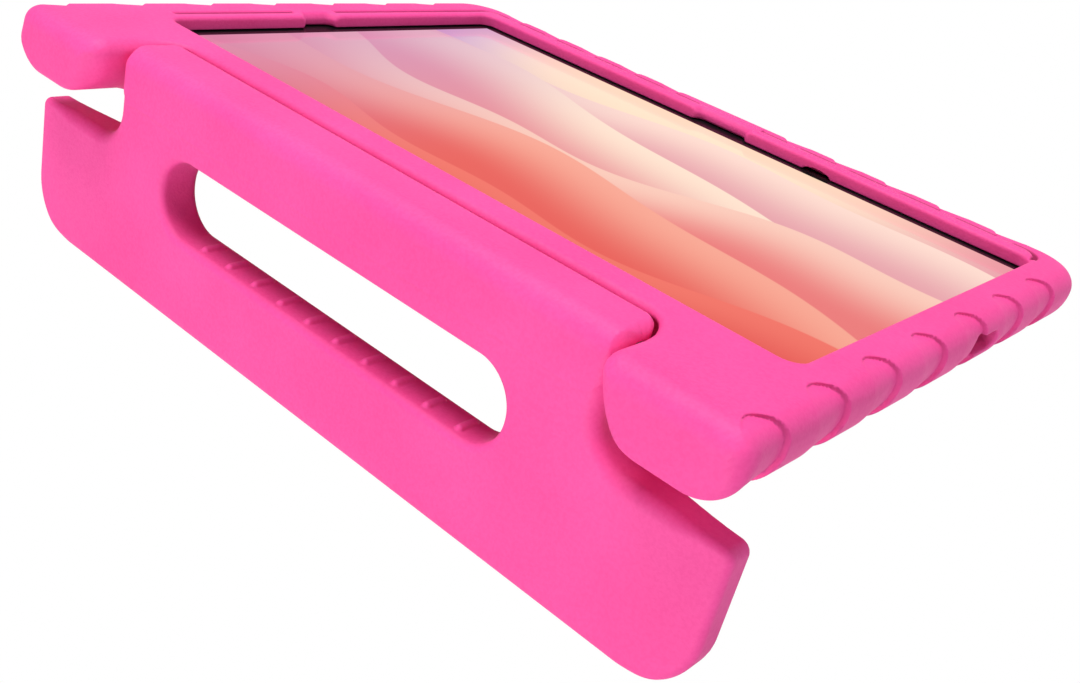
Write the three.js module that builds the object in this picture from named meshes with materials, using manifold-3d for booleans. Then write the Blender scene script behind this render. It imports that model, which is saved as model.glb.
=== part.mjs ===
// Kids tablet case: a moulded foam shell that grips a tablet, with a foam carry handle
// that turns on two pins and folds down behind the screen as a stand.
// Units are millimetres. The pieces are modelled flat, screen up: +X runs along the long side,
// +Y away from the handle, +Z out of the screen, and the front of the foam is at Z = 0.
// At the end the whole case is tilted so that it stands on its handle and its far edge.

import * as THREE from 'three';
import { mergeVertices } from 'three/addons/utils/BufferGeometryUtils.js';
import Module from 'manifold-3d';

const wasm = await Module();
wasm.setup();

// Clearances
const PIECE_GAP = 0.3;
const SEAM_GAP = 0.9;
const OVERCUT = 2;

// Tablet, the common size of an 11 inch class device
const TABLET_LENGTH = 254.3;
const TABLET_WIDTH = 165.8;
const TABLET_THICKNESS = 6.5;
const TABLET_CORNER = 8;
const TABLET_EDGE_ROUND = 1.6;
const GLASS_THICKNESS = 0.8;
const GLASS_BORDER = 0.4;
const BEZEL_SHORT = 9.75;
const BEZEL_LONG = 9.55;
const PANEL_MARGIN = 1;
const PANEL_THICKNESS = 1.2;
const HOUSING_WALL = 1.6;
const HOUSING_FLOOR = 0.9;

// Foam shell
const LIP_THICKNESS = 4.5;
const LIP_REACH_SHORT = 6.95;
const LIP_REACH_LONG = 6.55;
const LIP_ROUND = 1.8;
const WINDOW_CORNER = 5;
const SIDE_WALL_RIGHT = 7.3;
const SIDE_WALL_LEFT = 12.3;
const FAR_WALL = 8.8;
const NEAR_WALL = 4.3;
const BACK_THICKNESS = 7.9;
const FAR_CORNER = 20;
const SHELL_TOP_ROUND = 6;
const SHELL_LOW_ROUND = 13;
const SEAM_ROUND = 2.4;

// Ears that hold the handle's pins
const EAR_REACH = 19.6;
const EAR_WIDTH = 41.05;
const EAR_OUTER_CORNER = 4;
const EAR_INNER_CORNER = 8;
const EAR_INNER_ROUND = 5;
const EAR_LOW_ROUND = 12;
const EAR_FRONT_ROUND = 3;
const RECESS_CORNER = 9;

// Handle
const TONGUE_SQUARE = 19.2;
const TONGUE_CORNER = 8;
const TONGUE_FRONT_ROUND = 6.5;
const TONGUE_ROUND = 3.6;
const TONGUE_END_ROUND = 6;
const TONGUE_SWEEP_GAP = 0.7;
const END_GAP = 1;
const HANDLE_DROP = 76.5;
const HANDLE_TRIM = 0.05;
const PLATE_THICKNESS = 13.5;
const PLATE_ROUND = 4;
const FOOT_BACK_ROUND = 7.3;
const WING_BACK_ROUND = 1.5;
const WING_TOP_DROP = 31.2;
const WING_TAPER = 5.3;
const WING_TIP_ROUND = 3;
const WING_FRONT_CORNER = 3;
const WING_FILLET = 11;
const FOOT_CORNER = 19.5;
const SLOT_HALF_LENGTH = 70.5;
const SLOT_HEIGHT = 23.9;
const SLOT_TOP_DROP = 24.1;
const SLOT_FLARE = 2.6;
const RIB_PAIRS = 5;
const RIB_PITCH = 11.9;
const RIB_RADIUS = 1.1;
const RIB_LENGTH = 7.4;

// Hinge pins and the bushes that they turn in
const PIN_RADIUS = 3;
const PIN_DEPTH_IN_EAR = 12;
const PIN_DEPTH_IN_BUSH = 12;
const BUSH_WALL = 2.2;
const BUSH_LENGTH = 13;

// Dents along the outer edges
const DENT_DEPTH = 1.5;
const DENT_RAMP = 8;
const DENT_RADIUS = 9.5;
const DENT_HALF_LENGTH = 8;
const DENT_CENTRE_DROP = 6;
const DENT_CENTRE_INSET = 1;
const SIDE_DENT_COUNT = 7;
const SIDE_DENT_PITCH = 27.3;
const SIDE_DENT_FIRST = -100;
const FAR_DENT_PAIRS = 5;
const FAR_DENT_PITCH = 20.5;

// Groove in the front face and the notches in the lip
const GROOVE_DEPTH = 1.1;
const GROOVE_HALF_WIDTH = 0.5;
const GROOVE_FLARE = 0.8;
const GROOVE_SETBACK_SHORT = 5;
const GROOVE_SETBACK_LONG = 6.9;
const GROOVE_CORNER = 6;
const GROOVE_HOOK = 7;
const GROOVE_NEAR_END = -71;
const GROOVE_BREAK_MARGIN = 2.5;
const NOTCH_DEPTH = 3;
const NOTCH_SLOPE = 3;
const NOTCH_FLARE = 2.4;
const NOTCH_FILLET = 0.8;
const CAMERA_NOTCH_CENTRE = -1.2;
const CAMERA_NOTCH_LENGTH = 23;
const SIDE_NOTCH_CENTRE = -13;
const SIDE_NOTCH_LENGTH = 14;
const ARCH_CENTRE = 41;
const ARCH_HALF_WIDTH = 5.6;
const ARCH_HEIGHT = 1.4;
const ARCH_DEPTH = 3.5;

// Openings through the foam
const PORT_CENTRE = 9.4;
const PORT_OPENING_LENGTH = 16;
const PORT_OPENING_HEIGHT = 7;
const PORT_OPENING_FLARE = 1.5;
const BUTTON_OPENING_MARGIN = 5;
const BUTTON_OPENING_HEIGHT = 7;
const CAMERA_OPENING_RADIUS = 8;
const CAMERA_OPENING_FLARE = 2;

// Pieces inside the tablet
const PORT_WIDTH = 9;
const PORT_HEIGHT = 3.2;
const PORT_DEPTH = 7.4;
const PORT_SHELL = 0.35;
const PORT_SOCKET_DEPTH = 6.2;
const PORT_TONGUE_WIDTH = 6.6;
const PORT_TONGUE_THICKNESS = 0.7;
const BUTTON_HEIGHT = 1.8;
const BUTTON_PROUD = 0.6;
const BUTTON_FLANGE = 1.3;
const BUTTON_FLANGE_THICKNESS = 0.8;
const POWER_FROM_END = 70.15;
const POWER_LENGTH = 11;
const VOLUME_FROM_END = 46.15;
const VOLUME_LENGTH = 22;
const REAR_CAMERA_FROM_END = 23.15;
const REAR_CAMERA_FROM_FAR = 18.9;
const REAR_LENS_RADIUS = 4.2;
const REAR_MODULE_SIZE = 9;
const FRONT_CAMERA_RADIUS = 2.3;
const SPEAKER_LENGTH = 24;
const SPEAKER_WIDTH = 14;
const SPEAKER_FROM_EDGE = 37.9;
const CELL_END_GAP = 5.75;
const CELL_SIDE_GAP = 5;
const CELL_SPACING = 3;
const BOARD_END_GAP = 10.5;
const BOARD_WIDTH = 34;
const BOARD_THICKNESS = 0.8;
const SHIELD_LENGTH = 30;
const SHIELD_WIDTH = 22;
const SHIELD_PITCH = 36;
const SHIELD_COUNT = 3;
const GLASS_ROUND = 0.3;

// Smoothness of the curved surfaces
const CORNER_STEPS = 6;
const ROUND_STEPS = 4;
const DENT_STEPS = 5;
const BARREL_SIDES = 24;
const SMALLEST_FILLET = 1;

// Places worked out from the sizes above
const pocketHalfLength = TABLET_LENGTH / 2 + PIECE_GAP;
const pocketHalfWidth = TABLET_WIDTH / 2 + PIECE_GAP;
const windowHalfLength = pocketHalfLength - LIP_REACH_SHORT;
const windowHalfWidth = pocketHalfWidth - LIP_REACH_LONG;
const glassTop = -LIP_THICKNESS - PIECE_GAP;
const tabletBack = glassTop - TABLET_THICKNESS;
const pocketFloor = tabletBack - PIECE_GAP;
const shellBack = pocketFloor - BACK_THICKNESS;
const shellSide = pocketHalfLength + (SIDE_WALL_LEFT + SIDE_WALL_RIGHT) / 2;
const tabletX = (SIDE_WALL_LEFT - SIDE_WALL_RIGHT) / 2;
const shellFar = pocketHalfWidth + FAR_WALL;
const seamWall = -pocketHalfWidth - NEAR_WALL;
const tongueHalf = TONGUE_SQUARE / 2;
const hingeY = seamWall - SEAM_GAP - tongueHalf;
const hingeZ = -tongueHalf;
const earFront = hingeY - EAR_REACH;
const earInner = shellSide - EAR_WIDTH;
const tongueHalfWidth = earInner - END_GAP;
const handleHalfWidth = shellSide - HANDLE_TRIM;
const bushRadius = PIN_RADIUS + PIECE_GAP + BUSH_WALL;
const tongueSweep = Math.SQRT2 * (tongueHalf - TONGUE_ROUND) + TONGUE_ROUND;
const plateBack = PLATE_THICKNESS - tongueHalf;
const powerCentre = TABLET_LENGTH / 2 - POWER_FROM_END;
const volumeCentre = TABLET_LENGTH / 2 - VOLUME_FROM_END;
const rearCameraX = TABLET_LENGTH / 2 - REAR_CAMERA_FROM_END;
const rearCameraY = TABLET_WIDTH / 2 - REAR_CAMERA_FROM_FAR;
const panelHalfLength = TABLET_LENGTH / 2 - BEZEL_SHORT + PANEL_MARGIN;
const panelHalfWidth = TABLET_WIDTH / 2 - BEZEL_LONG + PANEL_MARGIN;
const buttonHeightZ = HOUSING_FLOOR + (TABLET_THICKNESS - GLASS_THICKNESS - HOUSING_FLOOR) / 2;

// One corner of an outline: place, fillet radius, and how far the edge that starts here is
// rounded over at the top and at the bottom. A negative rounding flares a cutter outwards.
function corner(x, y, fillet, topRound = 0, lowRound = 0) {
  return { x, y, fillet, topRound, lowRound };
}

// Corners of a rectangle, anticlockwise, all with the same fillet and rounding
function rectangle(halfX, halfY, fillet, topRound = 0, lowRound = 0) {
  return [
    corner(-halfX, -halfY, fillet, topRound, lowRound),
    corner(halfX, -halfY, fillet, topRound, lowRound),
    corner(halfX, halfY, fillet, topRound, lowRound),
    corner(-halfX, halfY, fillet, topRound, lowRound),
  ];
}

// Small curves get fewer facets than large ones
function stepsFor(radius, most) {
  return Math.min(most, Math.max(1, Math.ceil(radius)));
}

// The outline's points, with each edge moved inwards by its own inset and each corner filleted
function ringPoints(corners, insetOf) {
  const count = corners.length;
  const insets = corners.map(insetOf);
  const edges = corners.map((here, index) => {
    const next = corners[(index + 1) % count];
    const direction = new THREE.Vector2(next.x - here.x, next.y - here.y).normalize();
    const inward = new THREE.Vector2(-direction.y, direction.x);
    const start = new THREE.Vector2(here.x, here.y).addScaledVector(inward, insets[index]);
    return { start, direction };
  });
  const points = [];
  corners.forEach((here, index) => {
    const previous = (index + count - 1) % count;
    const before = edges[previous];
    const after = edges[index];
    const turn = before.direction.cross(after.direction);
    const between = after.start.clone().sub(before.start);
    const along = between.cross(after.direction) / turn;
    const point = before.start.clone().addScaledVector(before.direction, along);
    if (here.fillet === 0) {
      points.push(point);
      return;
    }
    const side = Math.sign(turn);
    const meanInset = (insets[previous] + insets[index]) / 2;
    const smallest = Math.min(here.fillet, SMALLEST_FILLET);
    const radius = Math.max(here.fillet - side * meanInset, smallest);
    const angle = Math.atan2(turn, before.direction.dot(after.direction));
    const reach = radius * Math.tan(Math.abs(angle) / 2);
    const start = point.clone().addScaledVector(before.direction, -reach);
    const towards = new THREE.Vector2(-before.direction.y, before.direction.x).multiplyScalar(side);
    const centre = start.clone().addScaledVector(towards, radius);
    const firstAngle = Math.atan2(start.y - centre.y, start.x - centre.x);
    const steps = stepsFor(here.fillet, CORNER_STEPS);
    for (let step = 0; step <= steps; step += 1) {
      const bearing = firstAngle + (angle * step) / steps;
      const x = centre.x + radius * Math.cos(bearing);
      const y = centre.y + radius * Math.sin(bearing);
      points.push(new THREE.Vector2(x, y));
    }
  });
  return points;
}

// A closed body through a stack of outlines with equal numbers of points
function loft(rings, heights) {
  const count = rings[0].length;
  const positions = [];
  rings.forEach((ring, level) => {
    ring.forEach((point) => positions.push(point.x, point.y, heights[level]));
  });
  const indices = [];
  for (let level = 0; level < rings.length - 1; level += 1) {
    for (let index = 0; index < count; index += 1) {
      const next = (index + 1) % count;
      const low = level * count;
      const high = low + count;
      indices.push(low + index, low + next, high + next);
      indices.push(low + index, high + next, high + index);
    }
  }
  const lastRing = (rings.length - 1) * count;
  for (const [ring, offset, faceUp] of [[rings[0], 0, false], [rings.at(-1), lastRing, true]]) {
    for (const [a, b, c] of THREE.ShapeUtils.triangulateShape(ring, [])) {
      const area = THREE.ShapeUtils.area([ring[a], ring[b], ring[c]]);
      const order = area > 0 === faceUp ? [a, b, c] : [a, c, b];
      indices.push(...order.map((index) => index + offset));
    }
  }
  const geometry = new THREE.BufferGeometry();
  geometry.setAttribute('position', new THREE.Float32BufferAttribute(positions, 3));
  geometry.setIndex(indices);
  return geometry;
}

// How far a rounded edge has drawn in at a given distance from its face
function roundInset(radius, distance) {
  const size = Math.abs(radius);
  if (distance >= size) {
    return 0;
  }
  const inset = size - Math.sqrt(size * size - (size - distance) ** 2);
  return Math.sign(radius) * inset;
}

// Distances from a face at which a rounded edge gets an outline, from the face inwards
function roundDistances(radius) {
  const distances = [];
  const steps = stepsFor(radius, ROUND_STEPS);
  for (let step = 0; step <= steps; step += 1) {
    distances.push(radius * (1 - Math.cos((step / steps) * (Math.PI / 2))));
  }
  return distances;
}

// A slab between two heights, with each edge rounded over or flared as its corner says
function slab(corners, low, high) {
  const topRound = Math.max(...corners.map((here) => Math.abs(here.topRound)));
  const lowRound = Math.max(...corners.map((here) => Math.abs(here.lowRound)));
  const heights = roundDistances(lowRound).map((distance) => low + distance);
  roundDistances(topRound).reverse().forEach((distance) => heights.push(high - distance));
  const levels = heights.filter((height, index) => index === 0 || height - heights[index - 1] > 1e-6);
  const rings = levels.map((height) => ringPoints(corners, (here) => (
    roundInset(here.lowRound, height - low) + roundInset(here.topRound, high - height)
  )));
  return loft(rings, levels);
}

// The joined solid of a geometry, whose shared vertices are merged unless a join has done it
function solid(geometry) {
  const bare = geometry.clone();
  bare.deleteAttribute('normal');
  bare.deleteAttribute('uv');
  const merged = geometry.userData.joined ? bare : mergeVertices(bare);
  const mesh = new wasm.Mesh({
    numProp: 3,
    vertProperties: Float32Array.from(merged.attributes.position.array),
    triVerts: Uint32Array.from(merged.index.array),
  });
  return new wasm.Manifold(mesh);
}

// The geometry of a joined solid
function surface(joined) {
  const mesh = joined.getMesh();
  const geometry = new THREE.BufferGeometry();
  geometry.setAttribute('position', new THREE.Float32BufferAttribute(mesh.vertProperties, mesh.numProp));
  geometry.setIndex(Array.from(mesh.triVerts));
  geometry.computeVertexNormals();
  geometry.userData.joined = true;
  return geometry;
}

// One base with geometries added, then others cut away
function shaped(base, { added = [], cut = [] } = {}) {
  let result = solid(base);
  added.forEach((geometry) => {
    result = result.add(solid(geometry));
  });
  cut.forEach((geometry) => {
    result = result.subtract(solid(geometry));
  });
  return surface(result);
}

// What two geometries share
function common(first, second) {
  return surface(solid(first).intersect(solid(second)));
}

// The mirror image across the middle plane, X to -X
function mirrored(geometry) {
  const copy = geometry.clone().scale(-1, 1, 1);
  const index = copy.index.array;
  for (let first = 0; first < index.length; first += 3) {
    [index[first + 1], index[first + 2]] = [index[first + 2], index[first + 1]];
  }
  return copy;
}

// A box between two corners
function box(low, high) {
  const size = high.map((value, axis) => value - low[axis]);
  const middle = high.map((value, axis) => (value + low[axis]) / 2);
  return new THREE.BoxGeometry(...size).translate(...middle);
}

// A round bar along X
function barX(radius, from, to) {
  const bar = new THREE.CylinderGeometry(radius, radius, to - from, BARREL_SIDES);
  return bar.rotateZ(Math.PI / 2).translate((from + to) / 2, 0, 0);
}

// A round bar along X about the origin, with its ends rounded over
function roundedBarX(radius, halfLength, round) {
  const rings = [];
  const heights = [];
  const addRing = (height, inset) => {
    const circle = [];
    for (let side = 0; side < BARREL_SIDES; side += 1) {
      const angle = (side / BARREL_SIDES) * 2 * Math.PI;
      circle.push(new THREE.Vector2(Math.cos(angle), Math.sin(angle)).multiplyScalar(radius - inset));
    }
    rings.push(circle);
    heights.push(height);
  };
  roundDistances(round).forEach((reach) => addRing(reach - halfLength, roundInset(round, reach)));
  roundDistances(round).reverse().forEach((reach) => addRing(halfLength - reach, roundInset(round, reach)));
  return loft(rings, heights).rotateY(Math.PI / 2);
}

// Turns a shape drawn in X and Y so that it stands in X and Z, with its height along -Y
function stoodUp(geometry) {
  return geometry.rotateX(Math.PI / 2);
}

// Turns a shape drawn with X as its outward side so that it faces the far side
function facingFar(geometry) {
  return geometry.rotateZ(Math.PI / 2);
}

// Shell outline with its two ears, anticlockwise from the left ear's outer corner
function shellOutline() {
  const outer = [SHELL_TOP_ROUND, SHELL_LOW_ROUND];
  const front = [SHELL_TOP_ROUND, EAR_FRONT_ROUND];
  const inner = [EAR_INNER_ROUND, EAR_LOW_ROUND];
  const seam = [SEAM_ROUND, SEAM_ROUND];
  return [
    corner(-shellSide, earFront, EAR_OUTER_CORNER, ...front),
    corner(-earInner, earFront, EAR_INNER_CORNER, ...inner),
    corner(-earInner, seamWall, RECESS_CORNER, ...seam),
    corner(earInner, seamWall, RECESS_CORNER, ...inner),
    corner(earInner, earFront, EAR_INNER_CORNER, ...front),
    corner(shellSide, earFront, EAR_OUTER_CORNER, ...outer),
    corner(shellSide, shellFar, FAR_CORNER, ...outer),
    corner(-shellSide, shellFar, FAR_CORNER, ...outer),
  ];
}

// The space outside the shell's edge, in X and Z, when the edge is drawn in by a depth
function edgeOutside(depth) {
  const reach = SHELL_LOW_ROUND + DENT_RADIUS;
  const inner = -reach;
  const points = [];
  for (let step = 0; step <= DENT_STEPS; step += 1) {
    const angle = ((DENT_STEPS - step) / DENT_STEPS) * (Math.PI / 2);
    const radius = SHELL_TOP_ROUND - depth;
    const x = -SHELL_TOP_ROUND + radius * Math.cos(angle);
    points.push(new THREE.Vector2(x, -SHELL_TOP_ROUND + radius * Math.sin(angle)));
  }
  for (let step = 0; step <= DENT_STEPS; step += 1) {
    const angle = (-step / DENT_STEPS) * (Math.PI / 2);
    const radius = SHELL_LOW_ROUND - depth;
    const x = -SHELL_LOW_ROUND + radius * Math.cos(angle);
    points.push(new THREE.Vector2(x, shellBack + SHELL_LOW_ROUND + radius * Math.sin(angle)));
  }
  points.push(new THREE.Vector2(inner, shellBack + depth));
  points.push(new THREE.Vector2(inner, shellBack - reach));
  points.push(new THREE.Vector2(reach, shellBack - reach));
  points.push(new THREE.Vector2(reach, reach));
  points.push(new THREE.Vector2(inner, reach));
  points.push(new THREE.Vector2(inner, -depth));
  return points;
}

// One dent at Y = 0 on an edge whose side is X = 0: its rim is a round arc over the edge,
// and from the rim the foam rises slowly back to the full section towards -Y
function dent() {
  const rings = [edgeOutside(DENT_DEPTH), edgeOutside(-PIECE_GAP)];
  const ramp = stoodUp(loft(rings, [0, DENT_RAMP]));
  const disc = new THREE.CylinderGeometry(DENT_RADIUS, DENT_RADIUS, 4 * DENT_RADIUS, BARREL_SIDES);
  disc.rotateZ(-Math.PI / 4).scale(1, DENT_HALF_LENGTH / DENT_RADIUS, 1);
  disc.translate(-DENT_CENTRE_INSET, -DENT_HALF_LENGTH, -DENT_CENTRE_DROP);
  return common(ramp, disc);
}

// All the dents: a row down each short side and a row along the far side
function dents() {
  const cutters = [];
  const single = dent();
  for (let index = 0; index < SIDE_DENT_COUNT; index += 1) {
    const y = SIDE_DENT_FIRST + index * SIDE_DENT_PITCH;
    const right = single.clone().translate(shellSide, y, 0);
    cutters.push(right, mirrored(right));
  }
  for (let pair = 1; pair <= FAR_DENT_PAIRS; pair += 1) {
    const left = facingFar(single.clone()).translate(-pair * FAR_DENT_PITCH, shellFar, 0);
    cutters.push(left, mirrored(left));
  }
  return cutters;
}

// A band of even width along straight runs that meet at right angles, with filleted turns
function band(points, half, fillet, flare) {
  const places = points.map(([x, y]) => new THREE.Vector2(x, y));
  const rights = places.slice(1).map((place, index) => {
    const direction = place.clone().sub(places[index]).normalize();
    return new THREE.Vector2(direction.y, -direction.x);
  });
  const side = (sign) => places.map((place, index) => {
    const before = rights[index - 1];
    const after = rights[index];
    const offset = new THREE.Vector2();
    for (const right of [before, after].filter(Boolean)) {
      offset.add(right);
    }
    const turnsLeft = before && after && before.cross(after) > 0;
    const middle = before && after;
    const outside = turnsLeft === (sign > 0) ? half : -half;
    const round = middle ? fillet + outside : 0;
    return corner(place.x + sign * half * offset.x, place.y + sign * half * offset.y, round, flare);
  });
  return [...side(1), ...side(-1).reverse()];
}

// A groove cut along a run of points in the front face
function groove(points) {
  const outline = band(points, GROOVE_HALF_WIDTH, GROOVE_CORNER, -GROOVE_FLARE);
  return slab(outline, -GROOVE_DEPTH, 0.01);
}

// The groove round the window on the far and left sides, broken at the two lip notches
function grooves() {
  const left = -windowHalfLength - GROOVE_SETBACK_SHORT;
  const far = windowHalfWidth + GROOVE_SETBACK_LONG;
  const farRight = windowHalfLength;
  const cameraBreak = CAMERA_NOTCH_LENGTH / 2 + GROOVE_BREAK_MARGIN;
  const sideBreak = SIDE_NOTCH_LENGTH / 2 + GROOVE_BREAK_MARGIN;
  return [
    groove([
      [CAMERA_NOTCH_CENTRE + cameraBreak, far],
      [farRight, far],
      [farRight, far - GROOVE_HOOK],
    ]),
    groove([
      [CAMERA_NOTCH_CENTRE - cameraBreak, far],
      [left, far],
      [left, SIDE_NOTCH_CENTRE + sideBreak],
    ]),
    groove([
      [left, SIDE_NOTCH_CENTRE - sideBreak],
      [left, GROOVE_NEAR_END],
    ]),
  ];
}

// A notch in the lip on the side X = 0, cut towards +X, centred on Y = 0
function lipNotch(length) {
  const half = length / 2;
  const corners = [
    corner(-OVERCUT, half, 0, 0),
    corner(-OVERCUT, -half, 0, 0),
    corner(0, -half, NOTCH_FILLET, -NOTCH_FLARE),
    corner(NOTCH_DEPTH, -half + NOTCH_SLOPE, NOTCH_FILLET, -NOTCH_FLARE),
    corner(NOTCH_DEPTH, half - NOTCH_SLOPE, NOTCH_FILLET, -NOTCH_FLARE),
    corner(0, half, NOTCH_FILLET, 0),
  ];
  return slab(corners, -LIP_THICKNESS - OVERCUT / 4, PIECE_GAP);
}

// Everything that is cut out of the foam shell round the tablet, with X = 0 at the tablet's middle
function tabletCuts() {
  const windowFlare = -LIP_ROUND;
  const window = slab(
    rectangle(windowHalfLength, windowHalfWidth, WINDOW_CORNER, windowFlare),
    pocketFloor + OVERCUT,
    0.01,
  );
  const aboveWindow = slab(
    rectangle(windowHalfLength + LIP_ROUND, windowHalfWidth + LIP_ROUND, WINDOW_CORNER + LIP_ROUND),
    0,
    OVERCUT,
  );
  const pocket = slab(
    rectangle(pocketHalfLength, pocketHalfWidth, TABLET_CORNER),
    pocketFloor,
    -LIP_THICKNESS,
  );
  const cameraNotch = facingFar(lipNotch(CAMERA_NOTCH_LENGTH));
  cameraNotch.translate(CAMERA_NOTCH_CENTRE, windowHalfWidth, 0);
  const sideNotch = lipNotch(SIDE_NOTCH_LENGTH).rotateZ(Math.PI);
  sideNotch.translate(-windowHalfLength, SIDE_NOTCH_CENTRE, 0);
  const arch = new THREE.CylinderGeometry(1, 1, ARCH_DEPTH + OVERCUT, BARREL_SIDES);
  arch.scale(ARCH_HALF_WIDTH, 1, ARCH_HEIGHT);
  arch.translate(ARCH_CENTRE, windowHalfWidth + (ARCH_DEPTH - OVERCUT) / 2, -LIP_THICKNESS);
  return [
    window, aboveWindow, pocket, cameraNotch, sideNotch, arch,
    portOpening(), buttonOpening(), rearCameraOpening(), ...grooves(),
  ];
}

// The hollow that the handle turns in and the holes for its pins
function hingeCuts() {
  const hollow = roundedBarX(
    tongueSweep + TONGUE_SWEEP_GAP,
    tongueHalfWidth + TONGUE_SWEEP_GAP,
    TONGUE_END_ROUND + TONGUE_SWEEP_GAP,
  );
  const pinHole = barX(PIN_RADIUS + PIECE_GAP, tongueHalfWidth, earInner + PIN_DEPTH_IN_EAR + PIECE_GAP);
  return [hollow, pinHole, mirrored(pinHole)].map((cutter) => cutter.translate(0, hingeY, hingeZ));
}

// The opening in the right side that a charging plug goes through, flared at its mouth
function portOpening() {
  const corners = rectangle(
    PORT_OPENING_LENGTH / 2,
    PORT_OPENING_HEIGHT / 2,
    PORT_OPENING_HEIGHT / 2 - PIECE_GAP,
    -PORT_OPENING_FLARE,
  );
  const cutter = slab(corners, pocketHalfLength - OVERCUT, pocketHalfLength + SIDE_WALL_RIGHT);
  cutter.rotateX(Math.PI / 2).rotateZ(Math.PI / 2);
  return cutter.translate(0, PORT_CENTRE, tabletBack + buttonHeightZ);
}

// The opening in the far side that leaves the power and volume buttons free
function buttonOpening() {
  const from = powerCentre - POWER_LENGTH / 2 - BUTTON_OPENING_MARGIN;
  const to = volumeCentre + VOLUME_LENGTH / 2 + BUTTON_OPENING_MARGIN;
  const corners = rectangle(
    (to - from) / 2,
    BUTTON_OPENING_HEIGHT / 2,
    BUTTON_OPENING_HEIGHT / 2 - PIECE_GAP,
    0,
    -PORT_OPENING_FLARE,
  );
  const cutter = stoodUp(slab(corners, -shellFar, -pocketHalfWidth + OVERCUT));
  return cutter.translate((from + to) / 2, 0, tabletBack + buttonHeightZ);
}

// The round opening in the back that the rear camera looks through
function rearCameraOpening() {
  const wide = CAMERA_OPENING_RADIUS + CAMERA_OPENING_FLARE;
  const height = BACK_THICKNESS + OVERCUT;
  const cutter = new THREE.CylinderGeometry(CAMERA_OPENING_RADIUS, wide, height, BARREL_SIDES);
  cutter.rotateX(Math.PI / 2);
  return cutter.translate(rearCameraX, rearCameraY, shellBack + BACK_THICKNESS / 2);
}

// The foam shell that grips the tablet
function caseBody() {
  const round = tabletCuts().map((cutter) => cutter.translate(tabletX, 0, 0));
  return shaped(slab(shellOutline(), shellBack, 0), { cut: [...round, ...hingeCuts(), ...dents()] });
}

// The handle's square upper bar between the ears, about the hinge axis
function handleTongue() {
  const plan = [
    corner(-tongueHalfWidth, -tongueHalf, 0, TONGUE_ROUND, TONGUE_ROUND),
    corner(tongueHalfWidth, -tongueHalf, 0, TONGUE_ROUND, TONGUE_ROUND),
    corner(tongueHalfWidth, tongueHalf, TONGUE_CORNER, TONGUE_ROUND, TONGUE_ROUND),
    corner(-tongueHalfWidth, tongueHalf, TONGUE_CORNER, TONGUE_ROUND, TONGUE_ROUND),
  ];
  const section = [
    corner(-tongueHalf, -tongueHalf, 0),
    corner(tongueHalf, -tongueHalf, TONGUE_ROUND),
    corner(tongueHalf, tongueHalf, TONGUE_ROUND),
    corner(-tongueHalf, tongueHalf, TONGUE_FRONT_ROUND),
  ];
  const run = slab(section, -tongueHalfWidth, tongueHalfWidth);
  run.rotateX(Math.PI / 2).rotateZ(Math.PI / 2);
  const swept = roundedBarX(tongueSweep, tongueHalfWidth, TONGUE_END_ROUND);
  return common(common(slab(plan, -tongueHalf, tongueHalf), run), swept);
}

// The handle's flat plate with its two wings, about the hinge axis
function handlePlate() {
  const top = -TONGUE_ROUND;
  const foot = tongueHalf - HANDLE_DROP;
  const wingTop = tongueHalf - WING_TOP_DROP;
  const wide = handleHalfWidth;
  const neck = tongueHalfWidth;
  const rounds = [PLATE_ROUND, PLATE_ROUND];
  const crisp = [PLATE_ROUND, WING_BACK_ROUND];
  const front = [
    corner(-wide, foot, FOOT_CORNER, PLATE_ROUND, FOOT_BACK_ROUND),
    corner(wide, foot, FOOT_CORNER, ...crisp),
    corner(wide, wingTop, WING_TIP_ROUND, ...crisp),
    corner(neck, wingTop, WING_FILLET, ...rounds),
    corner(neck, top, 0),
    corner(-neck, top, 0, ...rounds),
    corner(-neck, wingTop, WING_FILLET, ...crisp),
    corner(-wide, wingTop, WING_TIP_ROUND, ...crisp),
  ];
  const plan = [
    corner(-wide, -tongueHalf, WING_FRONT_CORNER),
    corner(wide, -tongueHalf, WING_FRONT_CORNER),
    corner(wide, plateBack - WING_TAPER, 0),
    corner(neck, plateBack, FOOT_CORNER),
    corner(-neck, plateBack, FOOT_CORNER),
    corner(-wide, plateBack - WING_TAPER, 0),
  ];
  const sheet = stoodUp(slab(front, -plateBack, tongueHalf));
  return common(sheet, slab(plan, foot - OVERCUT, top + OVERCUT));
}

// The hand slot through the plate, rounded at both mouths
function handSlot() {
  const top = tongueHalf - SLOT_TOP_DROP;
  const half = SLOT_HEIGHT / 2;
  const fillet = half - PIECE_GAP;
  const corners = rectangle(SLOT_HALF_LENGTH, half, fillet, -SLOT_FLARE, -SLOT_FLARE);
  const slot = slab(corners, -plateBack, tongueHalf);
  return stoodUp(slot).translate(0, 0, top - half);
}

// The short round grip ribs on the slot's lower wall
function gripRibs() {
  const floor = tongueHalf - SLOT_TOP_DROP - SLOT_HEIGHT;
  const middle = (plateBack - tongueHalf) / 2;
  const ribs = [];
  for (let index = 0; index < 2 * RIB_PAIRS; index += 1) {
    const x = tabletX + (index - RIB_PAIRS + 0.5) * RIB_PITCH;
    const rib = new THREE.CapsuleGeometry(RIB_RADIUS, RIB_LENGTH, 2, 8);
    ribs.push(rib.translate(x, middle, floor));
  }
  return ribs;
}

// The foam handle, with a socket in each end for its bush
function handleBody() {
  const end = tongueHalfWidth;
  const socket = barX(bushRadius + PIECE_GAP, end - BUSH_LENGTH - PIECE_GAP, end + OVERCUT);
  const blank = shaped(handleTongue(), {
    added: [handlePlate()],
    cut: [handSlot(), socket, mirrored(socket)],
  });
  return shaped(blank, { added: gripRibs() });
}

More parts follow.
